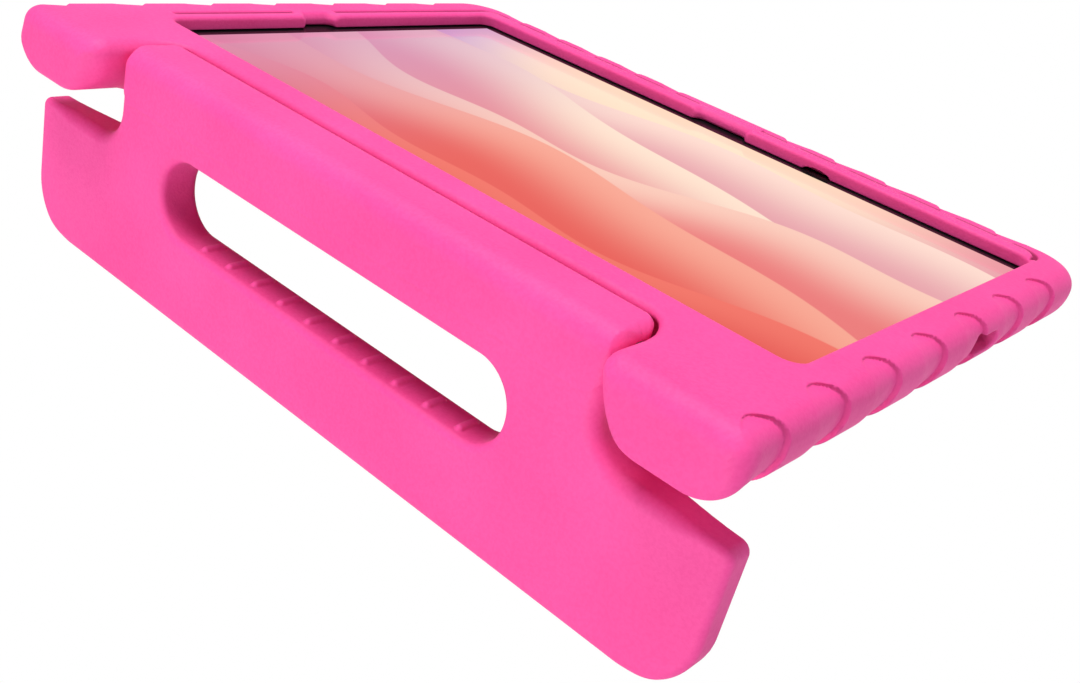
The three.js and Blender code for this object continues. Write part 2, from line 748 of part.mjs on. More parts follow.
// The bush in the right end of the handle
function hingeBush() {
  const end = tongueHalfWidth;
  const bore = barX(PIN_RADIUS + PIECE_GAP, end - BUSH_LENGTH - OVERCUT, end + OVERCUT);
  return shaped(barX(bushRadius, end - BUSH_LENGTH, end), { cut: [bore] });
}

// The pin that joins the handle to the right ear
function hingePin() {
  return barX(PIN_RADIUS, tongueHalfWidth - PIN_DEPTH_IN_BUSH, earInner + PIN_DEPTH_IN_EAR);
}

// Tablet pieces, with Z = 0 on the back of the tablet
const rimTop = TABLET_THICKNESS - GLASS_THICKNESS - PIECE_GAP;
const panelBottom = rimTop - PANEL_THICKNESS;
const bayFloor = HOUSING_FLOOR + PIECE_GAP;
const bayTop = panelBottom - PIECE_GAP;
const innerHalfLength = TABLET_LENGTH / 2 - HOUSING_WALL;
const innerHalfWidth = TABLET_WIDTH / 2 - HOUSING_WALL;
const speakerInner = innerHalfLength - PIECE_GAP - SPEAKER_WIDTH;
const speakerY = TABLET_WIDTH / 2 - SPEAKER_FROM_EDGE;
const boardLeft = -speakerInner + BOARD_END_GAP;
const boardRight = powerCentre - POWER_LENGTH / 2 - BUTTON_FLANGE - BOARD_END_GAP;
const boardFar = innerHalfWidth - PIECE_GAP;
const boardTop = bayFloor + BOARD_THICKNESS;
const frontCameraY = (panelHalfWidth + innerHalfWidth) / 2;

// One button's outline through the side wall, grown by a clearance
function buttonCap(length, grown, from, to) {
  const half = BUTTON_HEIGHT / 2 + grown;
  const corners = rectangle(length / 2 + grown, half, half - GLASS_ROUND);
  return stoodUp(slab(corners, -to, -from)).translate(0, 0, buttonHeightZ);
}

// A side button with the flange that keeps it in the housing
function sideButton(centre, length) {
  const flangeTop = innerHalfWidth - PIECE_GAP;
  const half = BUTTON_HEIGHT / 2 + BUTTON_FLANGE / 2;
  const flange = box(
    [-length / 2 - BUTTON_FLANGE, flangeTop - BUTTON_FLANGE_THICKNESS, buttonHeightZ - half],
    [length / 2 + BUTTON_FLANGE, flangeTop, buttonHeightZ + half],
  );
  const cap = buttonCap(length, 0, flangeTop - BUTTON_FLANGE_THICKNESS / 2, TABLET_WIDTH / 2 + BUTTON_PROUD);
  return shaped(flange, { added: [cap] }).translate(centre, 0, 0);
}

// The tray that forms the tablet's back and sides
function tabletHousing() {
  const outside = rectangle(TABLET_LENGTH / 2, TABLET_WIDTH / 2, TABLET_CORNER, 0, TABLET_EDGE_ROUND);
  const inside = rectangle(innerHalfLength, innerHalfWidth, TABLET_CORNER - HOUSING_WALL);
  const lens = new THREE.CylinderGeometry(
    REAR_LENS_RADIUS + PIECE_GAP,
    REAR_LENS_RADIUS + PIECE_GAP,
    4 * HOUSING_FLOOR,
    BARREL_SIDES,
  );
  lens.rotateX(Math.PI / 2).translate(rearCameraX, rearCameraY, 0);
  const portHole = box(
    [innerHalfLength - OVERCUT, -PORT_WIDTH / 2 - PIECE_GAP, -PORT_HEIGHT / 2 - PIECE_GAP],
    [TABLET_LENGTH / 2 + OVERCUT, PORT_WIDTH / 2 + PIECE_GAP, PORT_HEIGHT / 2 + PIECE_GAP],
  );
  portHole.translate(0, PORT_CENTRE, buttonHeightZ);
  const buttonHoles = [[powerCentre, POWER_LENGTH], [volumeCentre, VOLUME_LENGTH]].map(
    ([centre, length]) => buttonCap(
      length,
      PIECE_GAP,
      innerHalfWidth - OVERCUT,
      TABLET_WIDTH / 2 + OVERCUT,
    ).translate(centre, 0, 0),
  );
  return shaped(slab(outside, 0, rimTop), {
    cut: [slab(inside, HOUSING_FLOOR, rimTop + OVERCUT), lens, portHole, ...buttonHoles],
  });
}

// The glass plate over the whole front of the tablet
function coverGlass() {
  const outline = rectangle(
    TABLET_LENGTH / 2 - GLASS_BORDER,
    TABLET_WIDTH / 2 - GLASS_BORDER,
    TABLET_CORNER - GLASS_BORDER,
    GLASS_ROUND,
  );
  return slab(outline, rimTop + PIECE_GAP, TABLET_THICKNESS);
}

// The display panel under the glass
function displayPanel() {
  return box([-panelHalfLength, -panelHalfWidth, panelBottom], [panelHalfLength, panelHalfWidth, rimTop]);
}

// One flat battery cell, to the right of the middle
function batteryCell() {
  const near = -innerHalfWidth + CELL_SIDE_GAP;
  const far = boardFar - BOARD_WIDTH - CELL_SIDE_GAP;
  return box([CELL_SPACING / 2, near, bayFloor], [speakerInner - CELL_END_GAP, far, bayTop]);
}

// The circuit board along the far side, with its soldered shield cans
function mainBoard() {
  const board = box([boardLeft, boardFar - BOARD_WIDTH, bayFloor], [boardRight, boardFar, boardTop]);
  const cans = [];
  for (let index = 0; index < SHIELD_COUNT; index += 1) {
    const left = boardLeft + SHIELD_PITCH * (index + 0.1);
    const near = boardFar - BOARD_WIDTH + PANEL_MARGIN;
    const low = [left, near, boardTop - BOARD_THICKNESS / 2];
    cans.push(box(low, [left + SHIELD_LENGTH, near + SHIELD_WIDTH, bayTop]));
  }
  return shaped(board, { added: cans });
}

// The charging socket at the right side: a metal shell with a contact tongue
function chargingPort() {
  const end = TABLET_LENGTH / 2;
  const back = end - PORT_DEPTH;
  const shellBlock = box([back, -PORT_WIDTH / 2, -PORT_HEIGHT / 2], [end, PORT_WIDTH / 2, PORT_HEIGHT / 2]);
  const halfY = PORT_WIDTH / 2 - PORT_SHELL;
  const halfZ = PORT_HEIGHT / 2 - PORT_SHELL;
  const socket = box([end - PORT_SOCKET_DEPTH, -halfY, -halfZ], [end + OVERCUT, halfY, halfZ]);
  const hollowed = shaped(shellBlock, { cut: [socket] });
  const blade = box(
    [back + PORT_SHELL, -PORT_TONGUE_WIDTH / 2, -PORT_TONGUE_THICKNESS / 2],
    [end - PORT_SHELL, PORT_TONGUE_WIDTH / 2, PORT_TONGUE_THICKNESS / 2],
  );
  return shaped(hollowed, { added: [blade] }).translate(0, PORT_CENTRE, buttonHeightZ);
}

// One speaker box at a short side
function speaker(signX, signY) {
  const halfX = SPEAKER_WIDTH / 2;
  const halfY = SPEAKER_LENGTH / 2;
  const x = signX * (innerHalfLength - PIECE_GAP - halfX);
  return box([-halfX, -halfY, bayFloor], [halfX, halfY, bayTop]).translate(x, signY * speakerY, 0);
}

// The front camera, which stands on the board under the glass
function frontCamera() {
  const bottom = boardTop + PIECE_GAP;
  const height = rimTop - bottom;
  const barrel = new THREE.CylinderGeometry(FRONT_CAMERA_RADIUS, FRONT_CAMERA_RADIUS, height, BARREL_SIDES);
  barrel.rotateX(Math.PI / 2);
  return barrel.translate(CAMERA_NOTCH_CENTRE, frontCameraY, bottom + height / 2);
}

// The rear camera's module and the lens cover in the tablet's back
function rearCameraModule() {
  const half = REAR_MODULE_SIZE / 2;
  return box([-half, -half, bayFloor], [half, half, bayTop]).translate(rearCameraX, rearCameraY, 0);
}

function rearCameraLens() {
  const lens = new THREE.CylinderGeometry(REAR_LENS_RADIUS, REAR_LENS_RADIUS, HOUSING_FLOOR, BARREL_SIDES);
  lens.rotateX(Math.PI / 2);
  return lens.translate(rearCameraX, rearCameraY, HOUSING_FLOOR / 2);
}

// Finishes
const foam = new THREE.MeshStandardMaterial({ color: 0xf75ba4, roughness: 0.85, metalness: 0 });
const bearingPlastic = new THREE.MeshStandardMaterial({ color: 0xe8e8ea, roughness: 0.5, metalness: 0 });
const steel = new THREE.MeshStandardMaterial({ color: 0xb8babd, roughness: 0.35, metalness: 1 });
const aluminium = new THREE.MeshStandardMaterial({ color: 0x9a9ca2, roughness: 0.4, metalness: 0.9 });
const screenGlass = new THREE.MeshStandardMaterial({ color: 0xe07f78, roughness: 0.08, metalness: 0 });
const panelFinish = new THREE.MeshStandardMaterial({ color: 0x2a2b30, roughness: 0.4, metalness: 0.3 });
const cellWrap = new THREE.MeshStandardMaterial({ color: 0x3a3c42, roughness: 0.6, metalness: 0 });
const boardFinish = new THREE.MeshStandardMaterial({ color: 0x1f4a38, roughness: 0.6, metalness: 0 });
const blackPlastic = new THREE.MeshStandardMaterial({ color: 0x17181b, roughness: 0.5, metalness: 0 });
const lensGlass = new THREE.MeshStandardMaterial({ color: 0x0b0c10, roughness: 0.1, metalness: 0 });

function piece(name, geometry, material) {
  const mesh = new THREE.Mesh(geometry, material);
  mesh.name = name;
  return mesh;
}

// The tablet, seated in the pocket
function tabletGroup() {
  const tablet = new THREE.Group();
  tablet.position.set(tabletX, 0, tabletBack);
  tablet.add(
    piece('tablet_housing', tabletHousing(), aluminium),
    piece('cover_glass', coverGlass(), screenGlass),
    piece('display_panel', displayPanel(), panelFinish),
    piece('battery_cell_right', batteryCell(), cellWrap),
    piece('battery_cell_left', mirrored(batteryCell()), cellWrap),
    piece('main_board', mainBoard(), boardFinish),
    piece('charging_port', chargingPort(), steel),
    piece('front_camera', frontCamera(), blackPlastic),
    piece('rear_camera', rearCameraModule(), blackPlastic),
    piece('rear_camera_lens', rearCameraLens(), lensGlass),
    piece('power_button', sideButton(powerCentre, POWER_LENGTH), aluminium),
    piece('volume_button', sideButton(volumeCentre, VOLUME_LENGTH), aluminium),
    piece('speaker_far_right', speaker(1, 1), blackPlastic),
    piece('speaker_far_left', speaker(-1, 1), blackPlastic),
    piece('speaker_near_right', speaker(1, -1), blackPlastic),
    piece('speaker_near_left', speaker(-1, -1), blackPlastic),
  );
  return tablet;
}

// The handle with its bushes and pins, placed at the hinge axis
function handleGroup() {
  const handle = new THREE.Group();
  handle.position.set(0, hingeY, hingeZ);
  handle.add(
    piece('handle', handleBody(), foam),
    piece('hinge_bush_right', hingeBush(), bearingPlastic),
    piece('hinge_bush_left', mirrored(hingeBush()), bearingPlastic),
    piece('hinge_pin_right', hingePin(), steel),
    piece('hinge_pin_left', mirrored(hingePin()), steel),
  );
  return handle;
}

// The tilt at which the rounded foot of the handle and the rounded far edge touch one plane
function standingTilt() {
  const footY = hingeY + plateBack - FOOT_BACK_ROUND;
  const footZ = -HANDLE_DROP + FOOT_BACK_ROUND;
  const farY = shellFar - SHELL_LOW_ROUND;
  const farZ = shellBack + SHELL_LOW_ROUND;
  const rise = farY - footY;
  const drop = farZ - footZ;
  const span = Math.hypot(rise, drop);
  return Math.atan2(drop, rise) + Math.asin((FOOT_BACK_ROUND - SHELL_LOW_ROUND) / span);
}

const tabletCase = new THREE.Group();
tabletCase.add(piece('case_body', caseBody(), foam), handleGroup(), tabletGroup());
tabletCase.rotation.x = -standingTilt();

// The finished case, with its origin under the middle of its footprint
const stand = new THREE.Group();
stand.add(tabletCase);
stand.updateMatrixWorld(true);
const extent = new THREE.Box3().setFromObject(tabletCase, true);
const footprint = extent.getCenter(new THREE.Vector3());
tabletCase.position.set(-footprint.x, -footprint.y, -extent.min.z);

export default stand;
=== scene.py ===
"""Looks for the kids tablet case: a foam shell and a foam handle, meshed from smooth distance
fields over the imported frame, and procedural finishes for every piece.

Lengths in the fields are millimetres in the case's own frame, which lies flat with the screen up.
Everything handed to Blender is in metres in the row frame.
"""

import logging
import math
from dataclasses import dataclass, field
from enum import Enum
from typing import Protocol

import bpy
import numpy as np
from mathutils import Matrix, Vector

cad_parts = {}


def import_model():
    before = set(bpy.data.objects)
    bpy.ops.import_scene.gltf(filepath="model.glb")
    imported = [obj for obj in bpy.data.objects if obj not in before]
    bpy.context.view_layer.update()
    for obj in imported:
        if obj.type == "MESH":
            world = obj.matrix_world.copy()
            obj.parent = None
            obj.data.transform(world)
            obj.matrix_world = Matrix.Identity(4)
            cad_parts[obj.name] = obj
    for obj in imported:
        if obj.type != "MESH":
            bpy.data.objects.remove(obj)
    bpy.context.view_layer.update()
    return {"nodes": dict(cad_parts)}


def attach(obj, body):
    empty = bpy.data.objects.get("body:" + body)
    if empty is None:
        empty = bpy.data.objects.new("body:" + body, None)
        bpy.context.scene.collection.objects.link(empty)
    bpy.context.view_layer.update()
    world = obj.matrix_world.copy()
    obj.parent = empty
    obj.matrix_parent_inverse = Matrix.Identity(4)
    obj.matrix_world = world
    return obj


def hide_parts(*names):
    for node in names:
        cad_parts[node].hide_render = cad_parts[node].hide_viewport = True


LOG = logging.getLogger("tablet_case")
MM = 0.001
TILT = -0.30465068
SHIFT = np.array([0.0, 19.17208, 42.86925])
COS, SIN = math.cos(TILT), math.sin(TILT)
TURN = np.array([[1.0, 0.0, 0.0], [0.0, COS, -SIN], [0.0, SIN, COS]])


class Body(Enum):
    """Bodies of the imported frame."""

    CASE = "case"
    HANDLE = "handle"


class Field(Protocol):
    """A closed form given by its signed distance, in millimetres, negative inside."""

    def bounds(self) -> tuple[np.ndarray, np.ndarray]:
        """Returns the box that the form fills, as two corners."""

    def __call__(self, x: np.ndarray, y: np.ndarray, z: np.ndarray) -> np.ndarray:
        """Returns the signed distance at each place."""


# ---- fields


def round_max(a: np.ndarray, b: np.ndarray, radius: float | np.ndarray) -> np.ndarray:
    """Intersects two fields with a round edge.

    Args:
        a: first field, negative inside.
        b: second field.
        radius: edge radius, a number or an array.
    Returns:
        The joined field.
    """
    u = np.maximum(a + radius, 0.0)
    v = np.maximum(b + radius, 0.0)
    return np.minimum(np.maximum(a, b), -radius) + np.sqrt(u * u + v * v)


def round_min(a: np.ndarray, b: np.ndarray, radius: float) -> np.ndarray:
    """Joins two fields with a round inner corner.

    Args:
        a: first field, negative inside.
        b: second field.
        radius: fillet radius.
    Returns:
        The joined field.
    """
    return -round_max(-a, -b, radius)


def box2(
    x: np.ndarray, y: np.ndarray, half_x: float, half_y: float, radius: float | np.ndarray
) -> np.ndarray:
    """Distance to a rounded rectangle about the origin.

    Args:
        x: first coordinate.
        y: second coordinate.
        half_x: half size along x.
        half_y: half size along y.
        radius: corner radius.
    Returns:
        The signed distance.
    """
    qx = np.abs(x) - half_x + radius
    qy = np.abs(y) - half_y + radius
    outside = np.hypot(np.maximum(qx, 0.0), np.maximum(qy, 0.0))
    return outside + np.minimum(np.maximum(qx, qy), 0.0) - radius


def smooth(low: float, high: float, x: np.ndarray) -> np.ndarray:
    """Smooth step from 0 at low to 1 at high.

    Args:
        low: where the step starts.
        high: where it ends, below low for a falling step.
        x: the values.
    Returns:
        Weights from 0 to 1.
    """
    t = np.clip((x - low) / (high - low), 0.0, 1.0)
    return t * t * (3.0 - 2.0 * t)


@dataclass(frozen=True)
class Hinge:
    """Where the handle turns, and the size of its upper bar."""

    y: float = -98.0
    z: float = -9.6
    half: float = 9.6
    bar_half_length: float = 95.2
    sweep: float = 12.085
    sweep_gap: float = 0.7
    end_round: float = 6.0
    pin_hole: float = 3.3
    pin_end: float = 108.5
    socket: float = 5.8
    socket_start: float = 81.9


@dataclass(frozen=True)
class ShellSizes:
    """Sizes of the foam shell."""

    side: float = 137.25
    far: float = 92.0
    back: float = -19.5
    far_corner: float = 17.0
    top_round: float = 6.0
    low_round: float = 13.0
    seam_wall: float = -87.5
    seam_round: float = 2.4
    ear_front: float = -117.6
    ear_inner: float = 96.2
    ear_inner_round: float = 5.0
    ear_low_round: float = 17.0
    recess_corner: float = 9.0
    tablet_x: float = 2.5
    window_x: float = 120.5
    window_y: float = 76.65
    window_corner: float = 5.0
    lip_round: float = 1.5
    lip: float = 4.5
    pocket_x: float = 127.45
    pocket_y: float = 83.2
    pocket_corner: float = 8.0
    pocket_floor: float = -11.6
    opening_z: float = -8.0
    groove_inset: float = 8.45
    groove_left: float = 5.0
    groove_corner: float = 6.0
    groove_width: float = 0.9
    groove_depth: float = 1.6
    dent_depth: float = 1.4
    shallow_dent_depth: float = 0.75
    dent_ramp: float = 15.0
    dent_across: float = 9.3
    dent_along: float = 8.0
    side_dents: tuple = (-101.0, -74.0, -47.3, -20.0, 7.3, 34.5, 61.5)
    far_dents: tuple = (-102.5, -82.0, -61.5, -41.0, -20.5)


class ShellField:
    """Distance field of the foam shell that grips the tablet."""

    def __init__(self, sizes: ShellSizes, hinge: Hinge) -> None:
        """Keeps the sizes.

        Args:
            sizes: the shell's sizes.
            hinge: the hinge that it carries.
        """
        self.s = sizes
        self.h = hinge

    def bounds(self) -> tuple[np.ndarray, np.ndarray]:
        """Returns the box that the shell fills, as two corners."""
        s = self.s
        return np.array([-s.side, s.ear_front, s.back]), np.array([s.side, s.far, 0.0])

    def outside(self, x: np.ndarray, y: np.ndarray, z: np.ndarray) -> np.ndarray:
        """Outer form with its ears and round edges.

        Args:
            x: along the long side.
            y: away from the handle.
            z: out of the screen.
        Returns:
            The signed distance.
        """
        s = self.s
        plan = box2(x, y - s.far + 200.0, s.side, 200.0, s.far_corner)
        recess = -box2(x, y - s.seam_wall + 100.0, s.ear_inner, 100.0, s.recess_corner)
        ear = smooth(-90.0, -101.0, y)
        top_inner = s.seam_round + (s.ear_inner_round - s.seam_round) * ear
        low_inner = s.seam_round + (s.ear_low_round - s.seam_round) * ear
        outer = plan > recess
        top_round = np.where(outer, s.top_round, top_inner)
        low_round = np.where(outer, s.low_round, low_inner)
        side = np.maximum(plan, recess)
        body = round_max(round_max(side, z, top_round), s.back - z, low_round)
        front_round = 2.6 + 3.6 * smooth(-13.0, -5.0, z)
        front_round = front_round + (7.5 - front_round) * smooth(109.0, 98.0, np.abs(x))
        return round_max(body, s.ear_front - y, front_round)

    def dents(self, x: np.ndarray, y: np.ndarray, z: np.ndarray) -> np.ndarray:
        """How deep the row of moulded dents presses in at each place.

        Args:
            x: along the long side.
            y: away from the handle.
            z: out of the screen.
        Returns:
            The depth, 0 where there is none.
        """
        s = self.s
        depth = np.zeros(np.broadcast(x, y, z).shape, dtype=np.float32)
        rows = (
            (x - s.side, y, s.side_dents, s.dent_depth),
            (-x - s.side, y, s.side_dents, s.shallow_dent_depth),
            (y - s.far, -np.abs(x), s.far_dents, s.shallow_dent_depth),
        )
        for out, run, places, deepest in rows:
            across = (out + 1.0 - z - 6.0) / math.sqrt(2.0)
            near = out > -22.0
            for place in places:
                back = place - run
                mask = near & (back > -1.0) & (back < 2.0 * s.dent_along + 1.0)
                mask = np.broadcast_to(mask, depth.shape)
                if not mask.any():
                    continue
                a = np.broadcast_to(across, depth.shape)[mask] / s.dent_across
                t = np.broadcast_to(back, depth.shape)[mask]
                b = (t - s.dent_along) / s.dent_along
                rim = (1.0 - np.sqrt(a * a + b * b)) * s.dent_along
                fall = np.clip(1.0 - t / s.dent_ramp, 0.0, 1.0) * smooth(2.0 * s.dent_along, 12.0, t)
                push = deepest * fall * smooth(-0.15, 0.5, rim)
                depth[mask] = np.maximum(depth[mask], push)
        return depth

    def groove(self, x: np.ndarray, y: np.ndarray) -> np.ndarray:
        """Depth of the thin groove round the far and left sides of the window.

        Args:
            x: along the long side.
            y: away from the handle.
        Returns:
            The depth, 0 away from the groove.
        """
        s = self.s
        u = x - s.tablet_x
        half_x = s.window_x + s.groove_left / 2.0
        half_y = s.far - s.groove_inset + 60.0
        line = np.abs(box2(u + half_x - s.window_x, y + 60.0, half_x, half_y, s.groove_corner))
        line = np.where(y < -71.0, np.hypot(line, y + 71.0), line)
        left = u < -60.0
        far = (y > 40.0) & ~left
        ahead = np.where(far & (u > 60.0) & (y < 76.0), np.hypot(line, y - 76.0), line)
        keep = left | far
        gap_far = np.abs(u + 1.2) < 14.0
        gap_side = left & (np.abs(y + 13.0) < 9.5) & (y < 60.0)
        shape = np.exp(-((ahead / s.groove_width) ** 2))
        return np.where(keep & ~gap_far & ~gap_side, shape * s.groove_depth, 0.0)

    def __call__(self, x: np.ndarray, y: np.ndarray, z: np.ndarray) -> np.ndarray:
        """The whole shell.

        Args:
            x: along the long side.
            y: away from the handle.
            z: out of the screen.
        Returns:
            The signed distance.
        """
        s, h = self.s, self.h
        f = self.outside(x, y, z) + self.dents(x, y, z)
        u = x - s.tablet_x
        f = f + self.groove(x, y) * smooth(-3.0, -1.0, z)
        window = box2(u, y, s.window_x, s.window_y, s.window_corner)
        cover = np.maximum(window, s.pocket_floor + 1.0 - z)
        f = round_max(f, -cover, s.lip_round)
        pocket = np.maximum(box2(u, y, s.pocket_x, s.pocket_y, s.pocket_corner), z + s.lip)
        f = np.maximum(f, -np.maximum(pocket, s.pocket_floor - z))
        bore = np.hypot(y - h.y, z - h.z)
        hollow = round_max(
            bore - h.sweep - h.sweep_gap,
            np.abs(x) - h.bar_half_length - h.sweep_gap,
            h.end_round + h.sweep_gap,
        )
        f = round_max(f, -hollow, 0.5)
        f = np.maximum(f, -np.maximum(bore - h.pin_hole, np.abs(x) - h.pin_end))
        return self.openings(f, x, y, z)

    def openings(self, f: np.ndarray, x: np.ndarray, y: np.ndarray, z: np.ndarray) -> np.ndarray:
        """Cuts the notches in the lip and the openings for plug, buttons and camera.

        Args:
            f: the field so far.
            x: along the long side.
            y: away from the handle.
            z: out of the screen.
        Returns:
            The cut field.
        """
        s = self.s
        u = x - s.tablet_x
        for along, out, half in ((u + 1.2, y - s.window_y, 11.5), (y + 13.0, -u - s.window_x, 7.0)):
            wide = (np.abs(along) + 0.55 * np.maximum(out, 0.0) - half) * 0.88 - 1.5 * smooth(-2.5, 0.5, z)
            reach = np.maximum(out - 3.0 - 1.4 * smooth(-2.5, 0.5, z), -out - 4.0)
            notch = np.maximum(round_max(wide, reach, 1.2), -s.lip - 0.5 - z)
            f = round_max(f, -notch, 1.0)
        arch = (np.hypot((u - 41.0) / 5.6, (z + s.lip) / 1.5) - 1.0) * 1.5
        f = np.maximum(f, -np.maximum(arch, np.abs(y - s.window_y) - 3.5))
        plug = np.maximum(box2(y - 9.4, z - s.opening_z, 7.6, 3.0, 2.8), 125.0 - u)
        f = round_max(f, -plug, 1.0)
        keys = np.maximum(box2(u - 71.75, z - s.opening_z, 25.25, 3.5, 3.2), 82.0 - y)
        f = round_max(f, -keys, 1.6)
        flare = 8.0 + 2.0 * smooth(-14.0, s.back, z)
        lens = np.maximum(np.hypot(u - 104.0, y - 64.0) - flare, z + 11.0)
        return round_max(f, -lens, 1.0)


@dataclass(frozen=True)
class HandleSizes:
    """Sizes of the foam handle."""

    half_width: float = 137.2
    foot: float = -76.5
    foot_corner: float = 19.5
    wing_top: float = -31.2
    wing_tip: float = 3.0
    wing_fillet: float = 11.0
    wing_taper: float = 5.3
    wing_back_round: float = 1.6
    face: float = -107.6
    plate_back: float = -94.1
    foot_back_round: float = 7.3
    plate_round: float = 4.0
    wing_edge_round: float = 2.2
    bar_round: float = 3.6
    bar_front_round: float = 6.5
    bar_corner: float = 8.0
    slot_half: float = 70.5
    slot_low: float = -48.0
    slot_high: float = -24.1
    slot_round: float = 2.4
    rib_count: int = 10
    rib_pitch: float = 11.9
    rib_row_x: float = 2.5
    rib_radius: float = 1.25
    rib_length: float = 5.2
    rib_middle: float = -100.9
    rib_rise: float = 0.1


class HandleField:
    """Distance field of the foam handle at rest."""

    def __init__(self, sizes: HandleSizes, hinge: Hinge) -> None:
        """Keeps the sizes.

        Args:
            sizes: the handle's sizes.
            hinge: the hinge that it turns on.
        """
        self.s = sizes
        self.h = hinge

    def bounds(self) -> tuple[np.ndarray, np.ndarray]:
        """Returns the box that the handle fills, as two corners."""
        s, h = self.s, self.h
        return np.array([-s.half_width, s.face, s.foot]), np.array([s.half_width, h.y + h.half, 0.0])

    def bar(self, x: np.ndarray, y: np.ndarray, z: np.ndarray) -> np.ndarray:
        """The upper bar between the ears.

        Args:
            x: along the long side.
            y: away from the handle.
            z: out of the screen.
        Returns:
            The signed distance.
        """
        s, h = self.s, self.h
        yy, zz = y - h.y, z - h.z
        edge = np.where(yy < 0.0, np.where(zz > 0.0, s.bar_front_round, 0.8), s.bar_round)
        section = round_max(np.abs(yy) - h.half, np.abs(zz) - h.half, edge)
        end = np.abs(x) - h.bar_half_length
        corner = np.where(yy > 0.0, s.bar_corner, 3.0)
        body = round_max(section, end, np.minimum(s.bar_round, corner))
        plan = round_max(yy - h.half, end, s.bar_corner)
        swept = round_max(np.hypot(yy, zz) - h.sweep, end, h.end_round)
        return np.maximum(np.maximum(body, plan), swept)

    def plate(self, x: np.ndarray, y: np.ndarray, z: np.ndarray) -> np.ndarray:
        """The plate with its wings and hand slot.

        Args:
            x: along the long side.
            y: away from the handle.
            z: out of the screen.
        Returns:
            The signed distance.
        """
        s, h = self.s, self.h
        middle = (s.foot + s.wing_top) / 2.0
        half = (s.wing_top - s.foot) / 2.0
        corner = np.where(z < middle, s.foot_corner, s.wing_tip)
        wings = box2(x, z - middle, s.half_width, half, corner)
        neck = np.maximum(np.abs(x) - h.bar_half_length, np.maximum(z + 13.2, s.foot + 20.0 - z))
        outline = round_min(wings, neck, s.wing_fillet)
        outer = smooth(h.bar_half_length, s.half_width, np.abs(x))
        back = y - s.plate_back + s.wing_taper * outer
        outline = np.maximum(outline, z + 13.2)
        end = smooth(120.0, 130.0, np.abs(x))
        front_round = s.plate_round + (s.wing_edge_round - s.plate_round) * end
        side = round_max(outline, s.face - y, front_round)
        wing = smooth(h.bar_half_length - 4.0, h.bar_half_length + 8.0, np.abs(x)) * smooth(-56.0, -48.0, z)
        foot_round = s.plate_round + (s.foot_back_round - s.plate_round) * smooth(-56.0, -66.0, z)
        back_round = foot_round + (s.wing_back_round - foot_round) * wing
        body = round_max(round_max(side, y - s.plate_back, back_round), back, 0.8)
        slot_middle = (s.slot_low + s.slot_high) / 2.0
        slot_half = (s.slot_high - s.slot_low) / 2.0
        slot = box2(x, z - slot_middle, s.slot_half, slot_half, slot_half - 0.3)
        return round_max(body, -slot, s.slot_round)

    def __call__(self, x: np.ndarray, y: np.ndarray, z: np.ndarray) -> np.ndarray:
        """The whole handle.

        Args:
            x: along the long side.
            y: away from the handle.
            z: out of the screen.
        Returns:
            The signed distance.
        """
        s, h = self.s, self.h
        f = round_min(self.plate(x, y, z), self.bar(x, y, z), 0.4)
        start = s.rib_row_x - (s.rib_count - 1) / 2.0 * s.rib_pitch
        nearest = np.clip(np.round((x - start) / s.rib_pitch), 0, s.rib_count - 1)
        across = x - start - nearest * s.rib_pitch
        along = np.maximum(np.abs(y - s.rib_middle) - s.rib_length / 2.0, 0.0)
        rib = np.sqrt(across**2 + along**2 + (z - s.slot_low - s.rib_rise) ** 2) - s.rib_radius
        f = round_min(f, rib, 0.5)
        bore = np.hypot(y - h.y, z - h.z) - h.socket
        socket = np.maximum(bore, h.socket_start - np.abs(x))
        return np.maximum(f, -socket)


# ---- meshing


